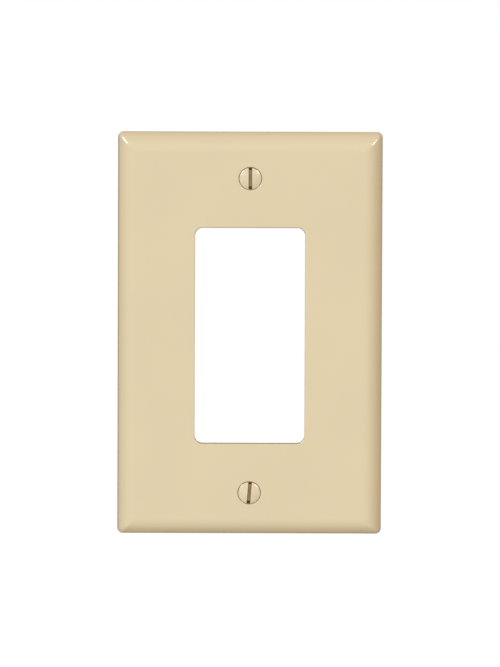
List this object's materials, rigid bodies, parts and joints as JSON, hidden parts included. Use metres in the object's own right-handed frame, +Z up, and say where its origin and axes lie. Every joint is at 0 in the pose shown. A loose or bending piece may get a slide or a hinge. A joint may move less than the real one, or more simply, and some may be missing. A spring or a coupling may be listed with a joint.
{
  "type": "wall plate cover",
  "caption": "Rectangular wall plate with a large rounded rectangular opening, soft mitred shoulders and slotted oval-head mounting screws in countersunk holes.",
  "frame": {"origin": "centre of the device opening, on the plane of the wall that the back rim rests on", "axes": "+Z up the long side, +X to the right as seen from the room, front face towards -Y, screws point along +Y into the wall box"},
  "size_m": [0.0802, 0.0137, 0.124],
  "materials": {
    "ivory_plastic": "gloss",
    "ivory_paint": "gloss",
    "zinc_plate": "satin",
    "natural_nylon": "satin"
  },
  "bodies": {
    "plate": {"wall_plate": "ivory_plastic"},
    "upper_washer": {"upper_retaining_washer": "natural_nylon"},
    "upper_screw": {"upper_screw": "ivory_paint"},
    "lower_washer": {"lower_retaining_washer": "natural_nylon"},
    "lower_screw": {"lower_screw": "ivory_paint"}
  },
  "joints": [
    {"name": "upper_screw_turn", "type": "hinge", "parent": "plate", "child": "upper_washer", "pos_m": [0, -0.003, 0.04842], "axis": [0, -1, 0], "range_deg": [0, 3240]},
    {"name": "upper_screw_travel", "type": "slide", "parent": "upper_washer", "child": "upper_screw", "axis": [0, -1, 0], "range_m": [0, 0.00714]},
    {"name": "lower_screw_turn", "type": "hinge", "parent": "plate", "child": "lower_washer", "pos_m": [0, -0.003, -0.04842], "axis": [0, -1, 0], "range_deg": [0, 3240]},
    {"name": "lower_screw_travel", "type": "slide", "parent": "lower_washer", "child": "lower_screw", "axis": [0, -1, 0], "range_m": [0, 0.00714]}
  ],
  "couplings": [
    {"joint": "upper_screw_turn", "follows": "upper_screw_travel", "rad_per_m": 7915.8},
    {"joint": "lower_screw_turn", "follows": "lower_screw_travel", "rad_per_m": 7915.8}
  ]
}
